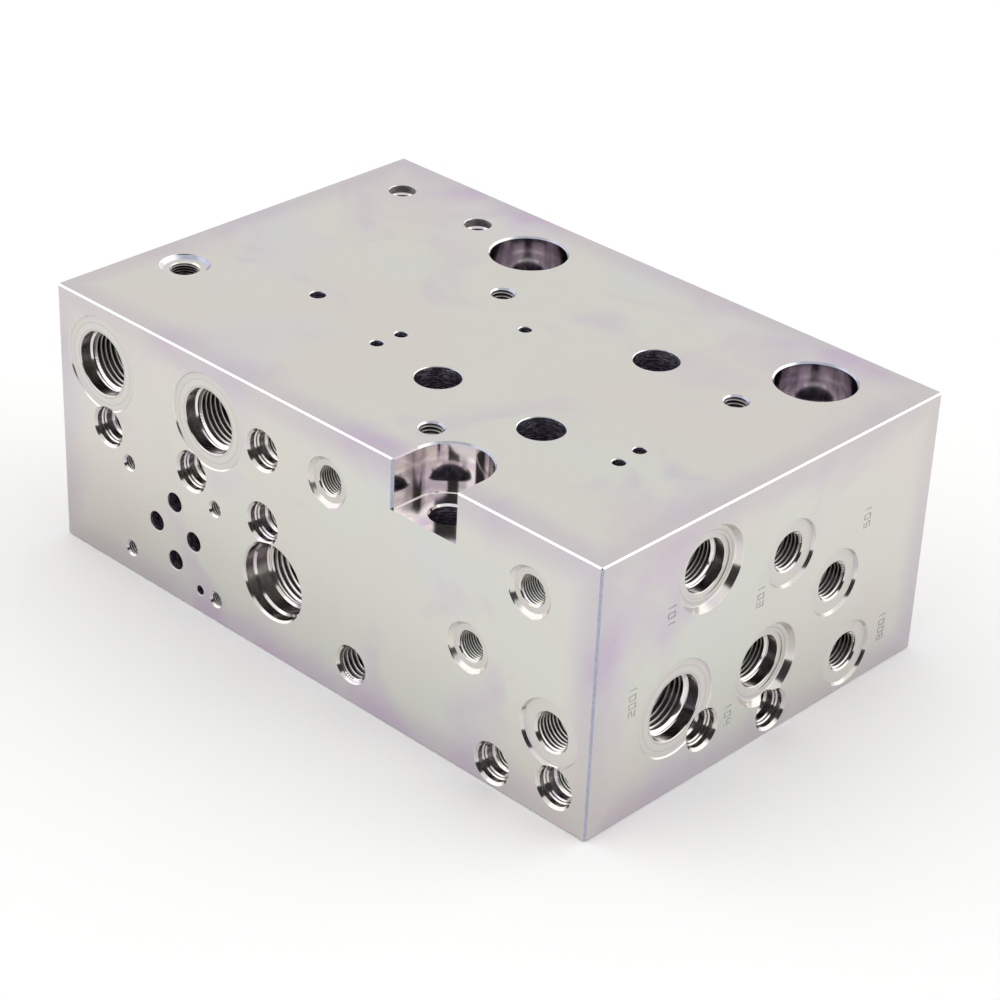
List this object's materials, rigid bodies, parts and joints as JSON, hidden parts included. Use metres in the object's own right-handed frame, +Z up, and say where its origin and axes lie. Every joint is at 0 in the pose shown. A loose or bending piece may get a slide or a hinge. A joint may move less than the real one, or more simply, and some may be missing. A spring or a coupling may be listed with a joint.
{
  "type": "hydraulic manifold block",
  "caption": "Drilled steel hydraulic manifold block with threaded ports, a cartridge cavity, valve pads on two faces and counterbored mounting holes.",
  "frame": {"origin": "centre of the block's bottom face", "axes": "+X along the long front face to its right end, +Y from the front face to the back, +Z up to the top face"},
  "size_m": [0.23, 0.15, 0.09],
  "materials": {
    "plated_steel": "satin zinc plating with a faint iridescent passivation",
    "hardened_steel": "ground",
    "bearing_steel": "polished",
    "blacked_steel": "black oxide"
  },
  "bodies": {
    "root": {"manifold_block": "plated_steel", "expander_sleeve_1": "hardened_steel", "expander_sleeve_2": "hardened_steel", "expander_sleeve_3": "hardened_steel", "expander_sleeve_4": "hardened_steel", "expander_sleeve_5": "hardened_steel", "expander_sleeve_6": "hardened_steel", "expander_sleeve_7": "hardened_steel", "expander_sleeve_8": "hardened_steel", "expander_ball_1": "bearing_steel", "expander_ball_2": "bearing_steel", "expander_ball_3": "bearing_steel", "expander_ball_4": "bearing_steel", "expander_ball_5": "bearing_steel", "expander_ball_6": "bearing_steel", "expander_ball_7": "bearing_steel", "expander_ball_8": "bearing_steel", "damping_orifice_1": "blacked_steel", "damping_orifice_2": "blacked_steel", "damping_orifice_3": "blacked_steel"}
  },
  "joints": []
}
